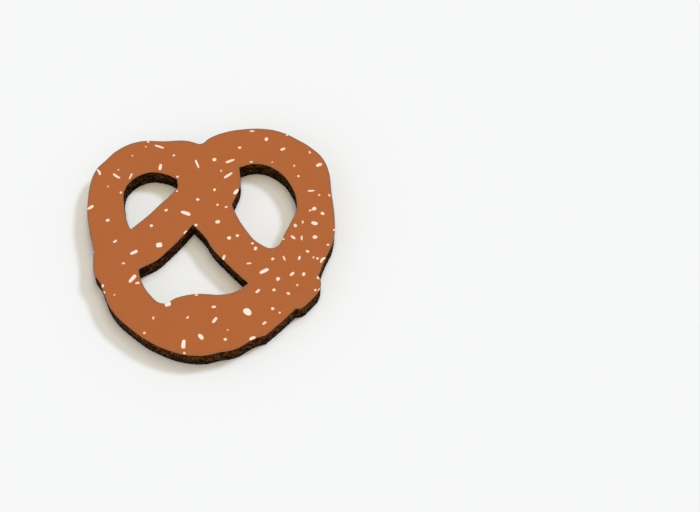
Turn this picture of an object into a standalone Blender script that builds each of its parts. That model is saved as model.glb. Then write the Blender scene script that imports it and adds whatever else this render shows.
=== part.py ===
"""A flat pretzel: a coaster cut from 10 mm pressed cork sheet, with three openings through it.

Frame: +Z up, the board lies on Z = 0, +Y runs from the base of the pretzel to the dip between
its two loops, and the origin is the centre of the outline's box on the surface it lies on.
"""

import bpy

MM = 0.001

# Driving dimensions, in millimetres
WIDTH = 101.8
THICKNESS = 10.0
STEPS_PER_SPAN = 8

# The outlines are drawn on a sheet this wide and then scaled to WIDTH
DRAWN_WIDTH = 101.8

SMOOTH = "AUTO"
CORNER = "VECTOR"

# One closed line for each cut, as (x, y, kind of point) in millimetres on the drawn sheet
OUTER_EDGE = [
    # the dip between the loops, and the crown of the right loop
    (-2.8, 45.0, CORNER), (-1.0, 45.5, SMOOTH), (1.1, 47.2, SMOOTH), (8.0, 49.7, SMOOTH),
    (15.5, 50.6, SMOOTH), (26.0, 49.9, SMOOTH), (32.5, 47.7, SMOOTH), (38.1, 44.2, SMOOTH),
    # down the outside of the right loop
    (43.7, 39.8, SMOOTH), (48.3, 34.3, SMOOTH), (50.4, 27.5, SMOOTH), (50.6, 18.5, SMOOTH),
    (50.9, 6.0, SMOOTH), (49.6, -3.8, SMOOTH), (45.1, -12.8, SMOOTH), (42.1, -19.5, CORNER),
    # the end of the strand that lies over the base
    (42.8, -21.8, SMOOTH), (42.3, -25.0, SMOOTH), (38.0, -30.1, SMOOTH), (33.6, -33.2, SMOOTH),
    (31.6, -33.1, CORNER),
    # the base
    (26.3, -37.8, SMOOTH), (18.7, -43.8, CORNER), (14.6, -44.7, SMOOTH), (6.3, -48.7, SMOOTH),
    (-1.0, -49.7, SMOOTH), (-7.5, -50.5, SMOOTH), (-21.0, -46.9, SMOOTH), (-37.1, -34.7, SMOOTH),
    (-43.3, -26.3, SMOOTH), (-45.3, -20.4, SMOOTH), (-46.8, -15.2, SMOOTH), (-49.0, -11.4, SMOOTH),
    # up the outside of the left loop, and over its crown
    (-49.2, -6.5, SMOOTH), (-48.9, -0.5, SMOOTH), (-50.1, 8.0, SMOOTH), (-50.8, 16.0, SMOOTH),
    (-50.3, 22.6, SMOOTH), (-49.3, 29.0, SMOOTH), (-46.4, 36.3, SMOOTH), (-42.6, 40.1, SMOOTH),
    (-37.1, 44.8, SMOOTH), (-28.5, 48.1, SMOOTH), (-17.0, 47.5, SMOOTH), (-8.0, 47.0, SMOOTH),
]
LEFT_OPENING = [
    (-33.3, 7.7, CORNER), (-34.3, 10.4, SMOOTH), (-35.4, 17.8, SMOOTH), (-34.3, 27.2, SMOOTH),
    (-25.7, 33.0, SMOOTH), (-17.3, 31.7, SMOOTH), (-13.1, 29.2, CORNER), (-12.9, 25.6, CORNER),
    (-16.9, 21.4, SMOOTH), (-20.8, 18.1, SMOOTH), (-25.0, 14.2, SMOOTH),
]
RIGHT_OPENING = [
    (13.2, 32.7, CORNER), (20.0, 33.8, SMOOTH), (28.0, 30.6, SMOOTH), (34.3, 21.9, SMOOTH),
    (35.8, 14.2, SMOOTH), (35.3, 10.9, SMOOTH), (33.1, 6.5, SMOOTH), (30.1, 1.4, SMOOTH),
    (25.2, -5.2, SMOOTH), (19.0, -2.8, SMOOTH), (13.9, 3.9, SMOOTH), (9.7, 13.2, SMOOTH),
    (9.0, 15.7, CORNER), (11.1, 19.7, SMOOTH), (13.0, 24.2, SMOOTH),
]
MIDDLE_OPENING = [
    (-7.6, 7.8, CORNER), (-2.5, 0.8, SMOOTH), (-0.8, -3.0, SMOOTH), (4.5, -10.1, SMOOTH),
    (10.8, -17.7, CORNER), (13.3, -20.3, CORNER), (7.4, -23.7, SMOOTH), (1.0, -24.4, SMOOTH),
    (-3.2, -23.8, SMOOTH), (-8.0, -23.3, SMOOTH), (-16.0, -24.3, SMOOTH), (-21.8, -26.4, SMOOTH),
    (-26.9, -22.0, SMOOTH), (-30.5, -13.6, SMOOTH), (-30.7, -10.5, CORNER), (-27.0, -8.9, SMOOTH),
    (-23.6, -7.4, SMOOTH), (-18.8, -3.5, SMOOTH), (-13.9, 1.0, SMOOTH),
]


def clear_scene():
    for thing in list(bpy.data.objects):
        bpy.data.objects.remove(thing)


def new_collection(name):
    made = bpy.data.collections.new(name)
    bpy.context.scene.collection.children.link(made)
    return made


def principled(name, colour, roughness):
    made = bpy.data.materials.new(name)
    made.use_nodes = True
    shader = made.node_tree.nodes["Principled BSDF"]
    shader.inputs["Base Color"].default_value = (*colour, 1.0)
    shader.inputs["Roughness"].default_value = roughness
    shader.inputs["Metallic"].default_value = 0.0
    return made


def add_cut_line(curve, points):
    """A closed Bezier line through the drawn points, scaled to the real width."""
    scale = WIDTH / DRAWN_WIDTH * MM
    line = curve.splines.new("BEZIER")
    line.bezier_points.add(len(points) - 1)
    line.use_cyclic_u = True
    for point, (x, y, kind) in zip(line.bezier_points, points):
        point.co = (x * scale, y * scale, 0.0)
        point.handle_left_type = kind
        point.handle_right_type = kind


def cut_board(name, cut_lines, material, collection):
    """A flat sheet filled between its cut lines, lying on Z = 0."""
    curve = bpy.data.curves.new(name, "CURVE")
    curve.dimensions = "2D"
    curve.fill_mode = "BOTH"
    curve.resolution_u = STEPS_PER_SPAN
    curve.extrude = THICKNESS / 2 * MM
    for points in cut_lines:
        add_cut_line(curve, points)
    curve.materials.append(material)
    board = bpy.data.objects.new(name, curve)
    board.location = (0.0, 0.0, THICKNESS / 2 * MM)
    collection.objects.link(board)
    return board


def main():
    clear_scene()
    collection = new_collection("pretzel_coaster")
    cork = principled("printed cork", (0.41, 0.12, 0.037), 0.8)
    cut_lines = (OUTER_EDGE, LEFT_OPENING, RIGHT_OPENING, MIDDLE_OPENING)
    cut_board("pretzel_board", cut_lines, cork, collection)


main()
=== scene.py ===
# The looks of a flat pretzel: a coaster of pressed cork with a printed face and scorched cut walls.
import math
import random

import bmesh
import bpy
import numpy as np
from mathutils import Matrix, Vector, kdtree, noise
from mathutils.geometry import delaunay_2d_cdt


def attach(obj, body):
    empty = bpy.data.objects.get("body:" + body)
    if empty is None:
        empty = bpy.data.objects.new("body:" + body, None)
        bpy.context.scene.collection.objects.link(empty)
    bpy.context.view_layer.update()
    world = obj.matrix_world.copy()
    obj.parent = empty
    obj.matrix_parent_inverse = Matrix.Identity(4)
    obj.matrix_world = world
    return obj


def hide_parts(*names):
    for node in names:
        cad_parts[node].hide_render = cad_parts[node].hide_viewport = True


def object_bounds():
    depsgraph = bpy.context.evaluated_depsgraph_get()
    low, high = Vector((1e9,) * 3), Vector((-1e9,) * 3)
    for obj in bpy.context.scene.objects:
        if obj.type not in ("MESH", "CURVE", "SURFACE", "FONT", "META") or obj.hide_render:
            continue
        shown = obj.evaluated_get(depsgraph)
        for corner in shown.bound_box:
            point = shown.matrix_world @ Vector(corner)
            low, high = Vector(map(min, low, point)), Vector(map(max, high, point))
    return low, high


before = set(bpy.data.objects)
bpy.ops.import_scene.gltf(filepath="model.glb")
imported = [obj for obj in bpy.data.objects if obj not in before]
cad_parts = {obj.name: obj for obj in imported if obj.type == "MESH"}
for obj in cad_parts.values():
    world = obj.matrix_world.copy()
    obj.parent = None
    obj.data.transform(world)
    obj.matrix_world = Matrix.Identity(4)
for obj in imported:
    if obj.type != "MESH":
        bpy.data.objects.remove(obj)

cad_low, cad_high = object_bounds()

MM = 0.001
NODE = "pretzel_board"
BODY = "root"

# The board, in millimetres, and the angle in degrees from which its edges are sharp.
# The ink stands above the face by the thickness of the print, and reaches as far into it
THICKNESS = (cad_high.z - cad_low.z) / MM
PRINT_THICKNESS = 0.03
FACE_HEIGHT = THICKNESS - PRINT_THICKNESS
RIM_ROUNDING = 0.08
RIM_STEPS = 3
SHARP_ANGLE = 50.0
FACE_SLOT, WALL_SLOT, UNDERSIDE_SLOT = range(3)

# The cut lines: how much a face of the solid looks up to be its upper one, the step between the points of
# a line, how far its facets are blurred away, and how many times as far the blur reaches
UPWARD = 0.9
CUT_STEP = 0.30
CUT_EASING = 0.30
EASING_REACH = 3

# Points nearer to each other than this are one: in metres in the solid, in millimetres in a flat mesh
WELD = 1e-6

# The crumbs that the cut lays bare in the wall. Sizes, depths, the sink of the whole relief and its fade
# below the rim are in millimetres, and the warp and the width of a joint are shares of a crumb.
# The seed fixes the warp, which otherwise follows the clock, and the scatter is the factor that gives
# neighbouring crumbs unlike tones
CRUMB_SEED = 1
WALL_ROWS = 33
CRUMB_SIZE = 1.15
CRUMB_FLATNESS = 1.25
CRUMB_WARP = 0.45
CRUMB_WARP_SIZE = 1.3
CRUMB_DEPTH = 0.12
JOINT_WIDTH = 0.35
JOINT_DEPTH = 0.10
WAVE_SIZE = 4.0
WAVE_DEPTH = 0.14
RELIEF_SINK = 0.02
RELIEF_FADE = 0.9
TONE_SCATTER = 7.31

# Extra points in the face and the underside, which carry the distance to the nearest cut: lines that follow
# the cuts at these distances, kept where no other cut is nearer than this share of it, and a grid.
# The crest and the tone are those that both have all over
MARGIN_LINES = (0.4, 0.9, 1.6, 2.5)
MARGIN_KEPT = 0.93
FIELD_STEP = 1.5
FLAT_CREST = 1.0
FLAT_TONE = 0.5

# The salt printed on the face: for each kind its length and width, how square it is from 2 for an ellipse,
# how far its middle bulges to the left of its direction, how thick its ink is from 0 to 1, and where each
# fleck lies as (x, y, turn in degrees from +X)
SALT = {
    "mote": (0.82, 0.76, 2.2, 0.0, 0.0, [
        (-25.3, 45.5, 0), (-31.1, 41.7, 0), (-41.8, 28.1, 0), (27.1, 34.1, 0), (3.7, -40.1, 0),
        (-41.1, -21.1, 0), (-37.2, 35.5, 0),
    ]),
    "speck": (0.92, 0.86, 2.2, 0.0, 0.45, [
        (-13.4, 23.7, 0), (34.2, 46.4, 0), (36.1, 31.7, 70), (40.7, -10.9, 0), (-49.0, -1.3, 0),
        (45.4, 17.3, 0), (33.1, -22.7, 0), (25.1, -34.3, 0), (29.1, -1.7, 0), (5.5, 31.7, 0),
    ]),
    "dot": (1.06, 1.00, 2.2, 0.0, 0.50, [
        (-24.2, 47.8, 0), (-13.8, 40.5, 0), (-12.8, 30.4, 0), (-36.6, 24.9, 0), (3.0, 16.1, 0),
        (50.3, 0.8, 0), (16.2, -2.6, 0), (47.1, -5.7, 0), (42.3, -11.5, 0), (-45.2, -19.7, 0),
        (-29.8, -38.7, 0), (-14.3, -48.7, 0), (40.3, -25.5, 20), (37.5, 26.7, 80),
    ]),
    "bead": (1.32, 1.20, 2.3, 0.0, 0.60, [
        (-5.0, 19.2, 0), (-24.7, 8.7, 0), (-6.4, 7.5, 0), (10.3, 1.4, 0), (22.4, -32.3, 0),
        (2.4, -44.1, 0), (23.5, -24.1, 0),
    ]),
    "crumb": (1.42, 1.04, 2.4, 0.0, 0.60, [
        (2.2, 23.1, 60), (-18.3, 15.3, 15), (38.5, -8.0, -35), (24.0, -10.3, 40), (41.9, -20.2, -45),
        (29.2, -26.1, -30), (13.9, 42.0, 0),
    ]),
    "nugget": (1.62, 1.27, 2.5, 0.0, 0.70, [
        (-42.5, 12.6, 0), (46.1, 8.7, -40), (34.4, 4.1, -60), (17.3, -5.0, 70), (36.1, -18.1, 70),
    ]),
    "cube": (1.62, 1.46, 2.7, 0.0, 0.75, [
        (3.0, 37.2, 10), (25.4, 45.1, 60), (25.5, -19.4, 60), (6.8, 0.6, 10),
    ]),
    "seed": (1.36, 0.82, 2.4, 0.0, 0.40, [
        (43.1, 37.5, -60), (49.6, 16.8, -60), (37.6, 5.4, 80), (6.5, 14.8, 20), (-36.9, -7.4, -5),
        (-25.9, -32.5, 80), (-12.1, -33.4, 35), (41.9, -25.4, 40), (-8.0, -23.8, 0), (18.3, 34.9, 0),
        (41.1, 10.5, 24),
    ]),
    "grain": (1.82, 0.98, 2.6, 0.0, 0.65, [
        (-39.9, 2.8, 30), (-10.9, 4.6, 45), (-1.3, -29.6, 0), (18.6, -38.3, 35), (-31.6, -16.6, 8),
        (-45.8, -16.9, 60), (34.9, -10.7, 68),
    ]),
    "pebble": (1.95, 1.55, 2.5, 0.0, 0.70, [
        (2.6, 8.3, 10), (42.8, 11.1, 30), (42.1, -1.8, 0),
    ]),
    "splinter": (2.30, 1.11, 2.6, 0.0, 0.70, [
        (31.4, -17.6, 40), (16.9, -24.1, 38), (33.1, -1.2, -42), (4.1, -8.0, 68), (32.0, 39.9, 20),
    ]),
    "sliver": (2.10, 0.73, 2.9, 0.0, 0.65, [
        (28.7, -10.3, -72), (14.2, -11.5, 0), (36.6, -1.8, 85), (19.7, 49.4, -4),
    ]),
    "straw": (2.85, 0.74, 2.9, 0.0, 0.60, [(-32.2, 32.2, 62), (42.2, 19.5, 0)]),
    "curl": (3.00, 0.96, 2.8, 0.30, 0.90, [(-45.3, 35.1, -66), (44.3, -12.3, 46)]),
    "log": (2.95, 1.24, 2.8, 0.0, 0.75, [(-1.3, -35.4, 52), (-49.4, 19.0, 30), (-19.7, 35.5, 77)]),
    "twig": (3.65, 1.04, 2.8, -0.25, 0.65, [(-38.1, 32.7, -40)]),
    "needle": (4.05, 0.86, 3.0, 0.0, 0.85, [(-19.7, 45.1, -24), (-4.3, 35.7, -73)]),
    "spear": (4.15, 1.11, 2.6, 0.0, 0.75, [(9.5, 36.0, 18), (8.3, 29.4, 31)]),
    "husk": (2.60, 1.34, 2.5, 0.0, 0.75, [(46.5, 31.3, 20), (13.3, -44.5, 20)]),
    "chip": (2.80, 1.53, 2.5, 0.0, 0.85, [(42.4, 4.5, -20), (11.1, 21.5, 45), (-7.3, -42.2, -56)]),
    "bar": (3.45, 1.36, 2.9, 0.0, 0.80, [(-32.4, -2.8, 22)]),
    "slab": (3.70, 1.58, 3.6, 0.0, 1.0, [(-14.4, -44.8, 82)]),
    "lozenge": (4.20, 1.46, 2.7, 0.0, 0.90, [(20.1, -15.4, 24), (-33.5, -14.5, 47), (-10.3, 13.3, -24)]),
    "block": (2.45, 2.10, 3.8, 0.0, 1.0, [(-22.0, -0.3, 6), (-19.8, -26.8, 8)]),
    "flake": (3.65, 2.65, 2.1, 0.0, 1.0, [(12.1, -32.9, -46)]),
}

# How uneven the flecks are: the most that one tapers, bulges, changes in size and is dented, as shares of
# it, how often each dent comes round it, and the share of a bulge that its middle takes, its ends the rest
SALT_SEED = 11
SALT_POINTS = 24
MOST_TAPER = 0.14
MOST_BULGE = 0.03
MOST_RESIZE = 0.03
MOST_DENT = 0.03
DENT_WAVES = (2, 3)
BULGE_IN_MIDDLE = 0.4

# The photograph's camera: its place, lens and sensor in millimetres, its turns in degrees, and how near and
# how far it sees in metres
CAMERA_PLACE = (10.07, -337.74, 738.35)
CAMERA_HEADING = -7.962
CAMERA_TILT = 24.337
CAMERA_ROLL = 3.096
LENS = 100.17
SENSOR_WIDTH = 36.0
NEAREST = 0.01
FARTHEST = 20.0

# The studio light as (azimuth from +X, elevation, spread in degrees, colour, strength): a key from the right
# and behind, a weaker and wider one beside it, one overhead, a faint and low one from the left, and the
# room's own light all round
KEY = (27.0, 52.0, 11.0, (0.68, 0.79, 1.0), 1.54)
BESIDE_KEY = (58.0, 71.0, 20.0, (0.91, 1.0, 0.89), 0.56)
OVERHEAD = (300.0, 88.0, 20.0, (1.0, 0.815, 0.507), 1.315)
FILL = (220.0, 20.0, 60.0, (0.60, 0.82, 1.0), 0.40)
ROOM_COLOUR = (0.79, 0.84, 1.0)
ROOM_STRENGTH = 0.37

# The floor, in millimetres: how far it reaches, how far it lies below the board, and how short a ray from
# the underside has to be to pass through it
FLOOR_COLOUR = (0.808, 0.808, 0.808)
FLOOR_REACH = 4000.0
FLOOR_GAP = 0.03
UNDERSIDE_REACH = 0.15


# Cut lines


def is_upper(face):
    return face.normal.z > UPWARD


def cut_lines(node):
    """The closed edges of the node's upper face, in millimetres, the outer one first.
    Each runs with the board on its left."""
    mesh = bmesh.new()
    mesh.from_mesh(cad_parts[node].data)
    bmesh.ops.remove_doubles(mesh, verts=mesh.verts, dist=WELD)
    following = {}
    for face in filter(is_upper, mesh.faces):
        for loop in face.loops:
            if sum(is_upper(other) for other in loop.edge.link_faces) == 1:
                following[loop.vert] = loop.link_loop_next.vert
    rings = []
    while following:
        first, vert = following.popitem()
        ring = [first.co.xy / MM]
        while vert is not first:
            ring.append(vert.co.xy / MM)
            vert = following.pop(vert)
        rings.append(np.array(ring))
    mesh.free()
    return sorted(rings, key=lambda ring: -np.ptp(ring[:, 0]))


def evenly_spaced(ring, step):
    """The closed ring as points about this far apart along it."""
    closed = np.vstack([ring, ring[:1]])
    lengths = np.linalg.norm(np.diff(closed, axis=0), axis=1)
    along = np.concatenate([[0.0], np.cumsum(lengths)])
    places = np.linspace(0.0, along[-1], round(along[-1] / step), endpoint=False)
    return np.column_stack([np.interp(places, along, closed[:, k]) for k in (0, 1)])


def eased(ring, step, radius):
    """The ring with its facets blurred away along it."""
    reach = math.ceil(EASING_REACH * radius / step)
    offsets = range(-reach, reach + 1)
    weights = np.exp([-0.5 * (k * step / radius) ** 2 for k in offsets])
    weights /= weights.sum()
    return sum(w * np.roll(ring, k, axis=0) for k, w in zip(offsets, weights))


def into_board(ring):
    """For each point of a ring, the unit direction square to it that leads into the board."""
    tangent = np.roll(ring, -1, axis=0) - np.roll(ring, 1, axis=0)
    tangent /= np.linalg.norm(tangent, axis=1)[:, None]
    return np.column_stack([-tangent[:, 1], tangent[:, 0]])


def between(points, rings):
    """Which points lie on the board: those from which a ray crosses the cut lines an odd number of times."""
    crossings = np.zeros(len(points), int)
    for ring in rings:
        for (x0, y0), (x1, y1) in zip(ring, np.roll(ring, -1, axis=0)):
            level = (points[:, 1] < y0) != (points[:, 1] < y1)
            if level.any():
                crossing_x = x0 + (points[level, 1] - y0) / (y1 - y0) * (x1 - x0)
                crossings[level] += points[level, 0] < crossing_x
    return crossings % 2 == 1


def nearest_cut(rings):
    """A function that gives each point's distance to the nearest cut line."""
    verts = np.vstack(rings)
    tree = kdtree.KDTree(len(verts))
    for index, (x, y) in enumerate(verts):
        tree.insert((x, y, 0.0), index)
    tree.balance()
    return lambda points: np.array([tree.find((x, y, 0.0))[2] for x, y in points])


def field_points(rings):
    """Points inside the board: lines that follow the cuts, and a grid between them."""
    distance = nearest_cut(rings)
    kept = []
    for offset in MARGIN_LINES:
        for ring in rings:
            line = ring + into_board(ring) * offset
            line = line[::max(1, round(offset / CUT_STEP))]
            kept.append(line[distance(line) > MARGIN_KEPT * offset])
    low, high = rings[0].min(0), rings[0].max(0)
    xs = np.arange(low[0], high[0], FIELD_STEP)
    ys = np.arange(low[1], high[1], FIELD_STEP)
    grid = np.array([(x + (row % 2) * FIELD_STEP / 2, y) for row, y in enumerate(ys) for x in xs])
    grid = grid[between(grid, rings)]
    kept.append(grid[distance(grid) > MARGIN_LINES[-1] + FIELD_STEP / 2])
    return np.vstack(kept)


def ring_outlines(rings):
    """Each ring as the indices of its points, all of them counter-clockwise."""
    outlines = []
    start = 0
    for ring in rings:
        outline = list(range(start, start + len(ring)))
        outlines.append(outline if start == 0 else outline[::-1])
        start += len(ring)
    return outlines


def triangulate(points, outlines):
    """(points, triangles, sources, owners) of the mesh between points and closed outlines.
    Sources tell which given points a point stands for, and owners which outlines a triangle lies in."""
    whole_hull = 0
    found = delaunay_2d_cdt(points, [], outlines, whole_hull, WELD, True)
    points, _, triangles, sources, _, owners = found
    return points, triangles, sources, owners


def board_triangles(rings, inner):
    """Triangles between the rings, as indices into the rings' points followed by the inner points."""
    points = [Vector(p) for p in np.vstack(rings + [inner])]
    _, triangles, sources, owners = triangulate(points, ring_outlines(rings))
    return [[sources[i][0] for i in t] for t, owner in zip(triangles, owners) if owner == [0]]


# The board


def show(name, data):
    """A new object of the scene, made of a mesh, a light or a camera."""
    made = bpy.data.objects.new(name, data)
    bpy.context.scene.collection.objects.link(made)
    return made


def make_mesh(name, points, faces):
    """A mesh object from points in millimetres."""
    mesh = bpy.data.meshes.new(name)
    mesh.from_pydata([Vector(p) * MM for p in points], [], faces)
    mesh.update()
    return show(name, mesh)


def set_point_values(mesh, name, values):
    attribute = mesh.attributes.new(name, "FLOAT", "POINT")
    attribute.data.foreach_set("value", np.array(values, np.float32))


def smoothstep(x):
    x = min(max(x, 0.0), 1.0)
    return x * x * (3.0 - 2.0 * x)


def as_share(signed):
    """A number from -1 to 1 moved to the range from 0 to 1."""
    return 0.5 + 0.5 * signed


def crumb_at(point):
    """(depth below the cut line, crest, tone) of the crumbs at a point of the wall.
    Crest is 0 in the joint between two crumbs and 1 on a crumb, and tone is one number for each crumb."""
    pressed = Vector((point.x, point.y, point.z * CRUMB_FLATNESS))
    warped = pressed / CRUMB_SIZE + noise.noise_vector(point / CRUMB_WARP_SIZE) * CRUMB_WARP
    distances, centres = noise.voronoi(warped)
    crest = smoothstep((distances[1] - distances[0]) / JOINT_WIDTH)
    tone = as_share(noise.cell(centres[0] * TONE_SCATTER))
    wave = as_share(noise.noise(point / WAVE_SIZE))
    depth = JOINT_DEPTH * (1.0 - crest) + CRUMB_DEPTH * tone + WAVE_DEPTH * wave
    return depth + RELIEF_SINK, crest, tone


def wall_rows():
    """(height, inset, share of the crumb relief) of each row of the wall, from its foot to the face."""
    top = FACE_HEIGHT - RIM_ROUNDING
    rows = [(h, 0.0, smoothstep((top - h) / RELIEF_FADE)) for h in np.linspace(0.0, top, WALL_ROWS)]
    for step in range(1, RIM_STEPS + 1):
        angle = math.pi / 2 * step / RIM_STEPS
        height = top + RIM_ROUNDING * math.sin(angle)
        rows.append((height, RIM_ROUNDING * (1.0 - math.cos(angle)), 0.0))
    return rows


def wall_points(rings):
    """The wall's points row by row, each row going round all the rings, with their crest and tone."""
    noise.seed_set(CRUMB_SEED)
    line = np.vstack(rings)
    inward = np.vstack([into_board(ring) for ring in rings])
    points, crests, tones = [], [], []
    for height, inset, share in wall_rows():
        for (x, y), (nx, ny) in zip(line, inward):
            depth, crest, tone = crumb_at(Vector((x, y, height)))
            depth = inset + share * depth
            points.append((x + nx * depth, y + ny * depth, height))
            crests.append(crest)
            tones.append(tone)
    return np.array(points), crests, tones


def wall_faces(rings, row_count):
    """Four-cornered faces between each row of the wall and the next."""
    row_length = sum(len(ring) for ring in rings)
    faces = []
    for row in range(row_count - 1):
        start = row * row_length
        for ring in rings:
            count = len(ring)
            for k in range(count):
                a, b = start + k, start + (k + 1) % count
                faces.append((a, b, b + row_length, a + row_length))
            start += count
    return faces


def split_like(points, rings):
    """The points of a whole row, one array for each ring."""
    return np.split(points, np.cumsum([len(ring) for ring in rings])[:-1])


def build_board(rings, face_material, wall_material, underside_material):
    """The whole board as one closed mesh: crumbly walls, a flat face and a flat underside."""
    points, crests, tones = wall_points(rings)
    row_length = sum(len(ring) for ring in rings)
    row_count = len(points) // row_length
    faces = wall_faces(rings, row_count)
    slots = [WALL_SLOT] * len(faces)
    values = {"crest": crests, "tone": tones, "edge_distance": [0.0] * len(points)}
    for row, slot in ((row_count - 1, FACE_SLOT), (0, UNDERSIDE_SLOT)):
        edge_start = row * row_length
        edges = split_like(points[edge_start:edge_start + row_length, :2], rings)
        inner = field_points(edges)
        inner_start = len(points)
        for triangle in board_triangles(edges, inner):
            corners = [edge_start + i if i < row_length else inner_start + i - row_length for i in triangle]
            faces.append(corners if slot == FACE_SLOT else corners[::-1])
            slots.append(slot)
        height = points[edge_start, 2]
        points = np.vstack([points, np.column_stack([inner, np.full(len(inner), height)])])
        values["edge_distance"] += list(nearest_cut(edges)(inner))
        values["crest"] += [FLAT_CREST] * len(inner)
        values["tone"] += [FLAT_TONE] * len(inner)
    board = make_mesh("cork_board", points, faces)
    for material in (face_material, wall_material, underside_material):
        board.data.materials.append(material)
    board.data.polygons.foreach_set("material_index", slots)
    board.data.shade_smooth()
    board.data.set_sharp_from_angle(angle=math.radians(SHARP_ANGLE))
    for name, numbers in values.items():
        set_point_values(board.data, name, numbers)
    return board


# The printed salt


def fleck_outline(x, y, length, width, squareness, bulge, turn, chance):
    """Points round one printed fleck: a rounded, slightly uneven blob."""
    taper = chance.uniform(-MOST_TAPER, MOST_TAPER)
    bulge += chance.uniform(-MOST_BULGE, MOST_BULGE) * length
    size = chance.uniform(1.0 - MOST_RESIZE, 1.0 + MOST_RESIZE)
    dents = [(k, chance.uniform(0.0, MOST_DENT), chance.uniform(0.0, math.tau)) for k in DENT_WAVES]
    spin = Matrix.Rotation(math.radians(turn), 2)
    points = []
    for step in range(SALT_POINTS):
        angle = math.tau * step / SALT_POINTS
        c, s = math.cos(angle), math.sin(angle)
        reach = size * (1.0 + sum(a * math.sin(k * angle + phase) for k, a, phase in dents))
        along = math.copysign(abs(c) ** (2 / squareness), c) * reach
        across = math.copysign(abs(s) ** (2 / squareness), s) * reach * (1.0 + taper * along)
        across = across * width / 2 + bulge * (BULGE_IN_MIDDLE - along * along)
        points.append(spin @ Vector((along * length / 2, across)) + Vector((x, y)))
    return points


def fleck_outlines():
    """(outline, thickness of its ink) of every fleck."""
    chance = random.Random(SALT_SEED)
    found = []
    for length, width, squareness, bulge, ink, places in SALT.values():
        for x, y, turn in places:
            found.append((fleck_outline(x, y, length, width, squareness, bulge, turn, chance), ink))
    return found


def salt_patches(rings):
    """The points of the printed face, and (triangle, thickness of its ink) of all that a fleck covers."""
    points = [Vector(p) for p in np.vstack(rings)]
    outlines = ring_outlines(rings)
    inks = [0.0] * len(rings)
    for fleck, ink in fleck_outlines():
        outlines.append(list(range(len(points), len(points) + len(fleck))))
        inks.append(ink)
        points += fleck
    points, triangles, _, owners = triangulate(points, outlines)
    holes = set(range(1, len(rings)))
    patches = []
    for triangle, owner in zip(triangles, owners):
        if 0 in owner and not holes & set(owner) and max(owner) >= len(rings):
            patches.append((triangle, max(inks[i] for i in owner)))
    return points, patches


def build_salt_print(rings, material):
    """Every fleck as a thin solid film on the face, cut off where a cut line crosses it."""
    points, patches = salt_patches(rings)
    film = bmesh.new()
    ink_layer = film.verts.layers.float.new("ink")
    verts = [film.verts.new((p.x * MM, p.y * MM, THICKNESS * MM)) for p in points]
    for triangle, ink in patches:
        for vert in film.faces.new([verts[i] for i in triangle]).verts:
            vert[ink_layer] = ink
    bmesh.ops.delete(film, geom=[v for v in film.verts if not v.link_faces], context="VERTS")
    bmesh.ops.recalc_face_normals(film, faces=film.faces)
    bmesh.ops.solidify(film, geom=film.faces[:], thickness=2 * PRINT_THICKNESS * MM)
    bmesh.ops.recalc_face_normals(film, faces=film.faces)
    mesh = bpy.data.meshes.new("salt_print")
    film.to_mesh(mesh)
    film.free()
    mesh.materials.append(material)
    return show("salt_print", mesh)


# Materials


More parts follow.
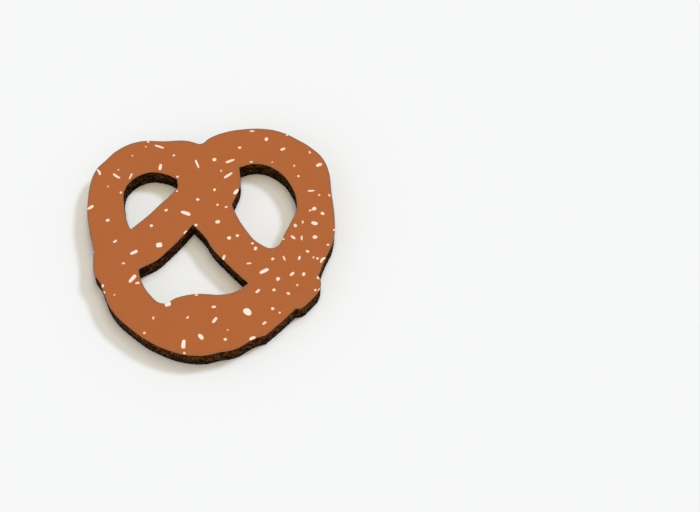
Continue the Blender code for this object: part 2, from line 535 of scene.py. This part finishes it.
class Look:
    """A material under construction: short calls that add nodes and join them."""

    def __init__(self, name, roughness, specular):
        self.material = bpy.data.materials.new(name)
        self.material.use_nodes = True
        self.tree = self.material.node_tree
        self.shader = self.tree.nodes["Principled BSDF"]
        self.shader.inputs["Roughness"].default_value = roughness
        self.shader.inputs["Specular IOR Level"].default_value = specular
        self.place = self.add("ShaderNodeTexCoord").outputs["Object"]

    def add(self, kind, **settings):
        node = self.tree.nodes.new(kind)
        for name, value in settings.items():
            setattr(node, name, value)
        return node

    def join(self, source, target):
        """Joins an output to a socket, or sets the socket where the source is a plain value."""
        if isinstance(source, bpy.types.NodeSocket):
            self.tree.links.new(source, target)
        elif isinstance(source, tuple):
            target.default_value = (*source, 1.0)
        else:
            target.default_value = source

    def noise(self, size, detail=2.0):
        """Cloudy noise from 0 to 1, with features of this size in millimetres."""
        node = self.add("ShaderNodeTexNoise")
        self.join(self.place, node.inputs["Vector"])
        node.inputs["Scale"].default_value = 1.0 / (size * MM)
        node.inputs["Detail"].default_value = detail
        return node.outputs["Fac"]

    def cells(self, size, output, feature="F1"):
        """Voronoi cells of this size in millimetres."""
        node = self.add("ShaderNodeTexVoronoi", feature=feature)
        self.join(self.place, node.inputs["Vector"])
        node.inputs["Scale"].default_value = 1.0 / (size * MM)
        return node.outputs[output]

    def joints(self, size, width, strength):
        """The joints between Voronoi cells of this size, from this strength in them down to 0."""
        distance = self.cells(size, "Distance", "DISTANCE_TO_EDGE")
        return self.spread(distance, (0.0, width), (strength, 0.0))

    def value_of(self, name):
        return self.add("ShaderNodeAttribute", attribute_name=name).outputs["Fac"]

    def height(self):
        """How far up the board a point lies, from 0 at its underside to 1 at its face."""
        split = self.add("ShaderNodeSeparateXYZ")
        self.join(self.place, split.inputs[0])
        return self.spread(split.outputs["Z"], (0.0, THICKNESS * MM), (0.0, 1.0))

    def spread(self, value, source, target):
        """The value moved from the source range to the target range, and kept inside it."""
        node = self.add("ShaderNodeMapRange")
        self.join(value, node.inputs["Value"])
        node.inputs["From Min"].default_value = source[0]
        node.inputs["From Max"].default_value = source[1]
        node.inputs["To Min"].default_value = target[0]
        node.inputs["To Max"].default_value = target[1]
        return node.outputs["Result"]

    def calculate(self, a, b, operation="ADD"):
        node = self.add("ShaderNodeMath", operation=operation)
        self.join(a, node.inputs[0])
        self.join(b, node.inputs[1])
        return node.outputs[0]

    def mix(self, share, a, b, blend="MIX"):
        node = self.add("ShaderNodeMix", data_type="RGBA", blend_type=blend)
        self.join(share, node.inputs["Factor"])
        self.join(a, node.inputs["A"])
        self.join(b, node.inputs["B"])
        return node.outputs["Result"]

    def ramp(self, value, *stops):
        """A colour ramp through (position, colour) stops."""
        node = self.add("ShaderNodeValToRGB")
        self.join(value, node.inputs["Fac"])
        elements = node.color_ramp.elements
        while len(elements) < len(stops):
            elements.new(0.5)
        for element, (position, colour) in zip(elements, stops):
            element.position = position
            element.color = (*colour, 1.0)
        return node.outputs["Color"]

    def bump(self, height, depth, strength):
        """Fine relief this deep in millimetres."""
        node = self.add("ShaderNodeBump")
        self.join(height, node.inputs["Height"])
        node.inputs["Distance"].default_value = depth * MM
        node.inputs["Strength"].default_value = strength
        self.join(node.outputs["Normal"], self.shader.inputs["Normal"])

    def finish(self, colour, roughness=None):
        self.join(colour, self.shader.inputs["Base Color"])
        if roughness is not None:
            self.join(roughness, self.shader.inputs["Roughness"])
        return self.material


def printed_face():
    """Matte brown ink on cork, a little uneven, and smoked along the laser's cut."""
    deep_ink = (0.395, 0.1150, 0.0325)
    pale_ink = (0.417, 0.1225, 0.0355)
    joint_ink = (0.338, 0.0950, 0.0270)
    grain_ink = (0.350, 0.0990, 0.0280)
    smoked_ink = (0.295, 0.1180, 0.0560)
    look = Look("brown_print", roughness=0.8, specular=0.08)
    colour = look.mix(look.noise(size=7.0, detail=3.0), deep_ink, pale_ink)
    joint = look.joints(size=1.5, width=0.12, strength=0.35)
    colour = look.mix(joint, colour, joint_ink)
    grain = look.noise(size=0.35, detail=3.0)
    colour = look.mix(look.spread(grain, (0.35, 0.75), (0.0, 0.20)), colour, grain_ink)
    smoke = look.spread(look.value_of("edge_distance"), (0.0, 1.5), (0.9, 0.0))
    colour = look.mix(smoke, colour, smoked_ink)
    look.bump(look.calculate(grain, joint, "SUBTRACT"), depth=0.03, strength=0.35)
    return look.finish(colour, look.spread(look.noise(size=2.5), (0.3, 0.7), (0.74, 0.86)))


def scorched_wall():
    """Scorched crumbs: red-brown in a ragged band below the face, dark at the foot, each its own tone."""
    joint_char = (0.010, 0.0040, 0.0010)
    grain_char = (0.016, 0.0070, 0.0018)
    look = Look("scorched_cork", roughness=0.85, specular=0.005)
    ragged = look.spread(look.noise(size=2.6), (0.3, 0.7), (-0.14, 0.14))
    colour = look.ramp(
        look.calculate(look.height(), ragged),
        (0.0, (0.034, 0.0145, 0.0036)),
        (0.35, (0.057, 0.0245, 0.0078)),
        (0.65, (0.080, 0.0285, 0.0070)),
        (0.80, (0.143, 0.0300, 0.0026)),
        (1.0, (0.165, 0.0330, 0.0028)),
    )
    fragment = look.spread(look.cells(0.75, "Color"), (0.25, 0.75), (-0.45, 0.45))
    shade = look.ramp(
        look.calculate(look.value_of("tone"), fragment),
        (0.0, (2.9, 3.6, 5.4)),
        (0.25, (1.5, 1.6, 1.9)),
        (0.6, (0.68, 0.61, 0.46)),
        (1.0, (0.18, 0.12, 0.06)),
    )
    colour = look.mix(1.0, colour, shade, "MULTIPLY")
    joint = look.spread(look.value_of("crest"), (0.0, 1.0), (0.7, 0.0))
    colour = look.mix(joint, colour, joint_char)
    grain = look.noise(size=0.40, detail=4.0)
    colour = look.mix(look.spread(grain, (0.45, 0.8), (0.0, 0.6)), colour, grain_char)
    look.bump(grain, depth=0.12, strength=0.6)
    return look.finish(colour, look.spread(grain, (0.3, 0.7), (0.72, 0.92)))


def bare_cork():
    """The unprinted underside: pressed crumbs of several browns, scorched along the cut."""
    crumb_size = 2.1
    joint_brown = (0.120, 0.0520, 0.0200)
    grain_brown = (0.165, 0.0750, 0.0300)
    scorched_brown = (0.022, 0.0095, 0.0030)
    look = Look("bare_cork", roughness=0.85, specular=0.2)
    colour = look.ramp(
        look.cells(crumb_size, "Color"),
        (0.0, (0.235, 0.1150, 0.0480)),
        (0.35, (0.385, 0.2150, 0.1020)),
        (0.7, (0.470, 0.2850, 0.1500)),
        (1.0, (0.310, 0.1600, 0.0720)),
    )
    joint = look.joints(crumb_size, width=0.09, strength=0.75)
    colour = look.mix(joint, colour, joint_brown)
    grain = look.noise(size=0.45, detail=4.0)
    colour = look.mix(look.spread(grain, (0.5, 0.75), (0.0, 0.7)), colour, grain_brown)
    ragged = look.spread(look.noise(size=1.8, detail=3.0), (0.3, 0.7), (-0.5, 0.5))
    edge = look.calculate(look.value_of("edge_distance"), ragged)
    colour = look.mix(look.spread(edge, (0.1, 2.2), (0.92, 0.0)), colour, scorched_brown)
    look.bump(look.calculate(grain, joint, "SUBTRACT"), depth=0.15, strength=0.5)
    return look.finish(colour)


def salt_ink():
    """Warm white ink, peach where it is thin and the brown shows through it."""
    grain_white = (0.84, 0.58, 0.43)
    look = Look("salt_ink", roughness=0.75, specular=0.1)
    colour = look.ramp(
        look.value_of("ink"),
        (0.0, (0.87, 0.39, 0.24)),
        (0.5, (0.885, 0.585, 0.41)),
        (1.0, (0.87, 0.725, 0.635)),
    )
    grain = look.noise(size=0.5, detail=3.0)
    colour = look.mix(look.spread(grain, (0.4, 0.8), (0.0, 0.35)), colour, grain_white)
    look.bump(grain, depth=0.02, strength=0.3)
    return look.finish(colour, look.spread(look.noise(size=1.5), (0.3, 0.7), (0.70, 0.80)))


# The studio


def add_floor():
    """A pale floor that is seen from above only, and lets light reach the underside that lies on it."""
    signs = ((-1, -1), (1, -1), (1, 1), (-1, 1))
    corners = [(x * FLOOR_REACH, y * FLOOR_REACH, -FLOOR_GAP) for x, y in signs]
    floor = make_mesh("floor", corners, [(0, 1, 2, 3)])
    look = Look("pale_floor", roughness=0.9, specular=0.1)
    look.finish(FLOOR_COLOUR)
    from_below = look.add("ShaderNodeNewGeometry").outputs["Backfacing"]
    length = look.add("ShaderNodeLightPath").outputs["Ray Length"]
    from_underside = look.calculate(length, UNDERSIDE_REACH * MM, "LESS_THAN")
    clear = look.calculate(from_below, from_underside, "MAXIMUM")
    see_through = look.add("ShaderNodeBsdfTransparent")
    blend = look.add("ShaderNodeMixShader")
    look.join(clear, blend.inputs[0])
    look.join(look.shader.outputs[0], blend.inputs[1])
    look.join(see_through.outputs[0], blend.inputs[2])
    look.join(blend.outputs[0], look.tree.nodes["Material Output"].inputs["Surface"])
    floor.data.materials.append(look.material)


def add_distant_light(name, azimuth, elevation, spread, colour, strength):
    light = bpy.data.lights.new(name, "SUN")
    light.color = colour
    light.energy = strength
    light.angle = math.radians(spread)
    turn, lift = math.radians(azimuth), math.radians(elevation)
    towards = Vector((math.cos(turn) * math.cos(lift), math.sin(turn) * math.cos(lift), math.sin(lift)))
    show(name, light).rotation_euler = towards.to_track_quat("Z", "Y").to_euler()


def add_room_light():
    world = bpy.data.worlds.new("room")
    world.use_nodes = True
    background = world.node_tree.nodes["Background"]
    background.inputs["Color"].default_value = (*ROOM_COLOUR, 1.0)
    background.inputs["Strength"].default_value = ROOM_STRENGTH
    bpy.context.scene.world = world


def add_camera():
    data = bpy.data.cameras.new("camera")
    data.sensor_width = SENSOR_WIDTH
    data.lens = LENS
    data.clip_start = NEAREST
    data.clip_end = FARTHEST
    camera = show("camera", data)
    turn = (
        Matrix.Rotation(math.radians(CAMERA_HEADING), 4, "Z")
        @ Matrix.Rotation(math.radians(CAMERA_TILT), 4, "X")
        @ Matrix.Rotation(math.radians(CAMERA_ROLL), 4, "Z")
    )
    camera.matrix_world = Matrix.Translation(Vector(CAMERA_PLACE) * MM) @ turn
    bpy.context.scene.camera = camera


def main():
    add_camera()
    add_room_light()
    add_distant_light("key", *KEY)
    add_distant_light("beside_key", *BESIDE_KEY)
    add_distant_light("overhead", *OVERHEAD)
    add_distant_light("fill", *FILL)
    add_floor()

    drawn = cut_lines(NODE)
    rings = [eased(evenly_spaced(ring, CUT_STEP), CUT_STEP, CUT_EASING) for ring in drawn]
    board = build_board(rings, printed_face(), scorched_wall(), bare_cork())
    face_edges = [ring + into_board(ring) * RIM_ROUNDING for ring in rings]
    salt = build_salt_print(face_edges, salt_ink())

    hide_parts(NODE)
    for piece in (board, salt):
        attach(piece, BODY)
    bpy.context.scene.view_settings.view_transform = "Standard"


main()
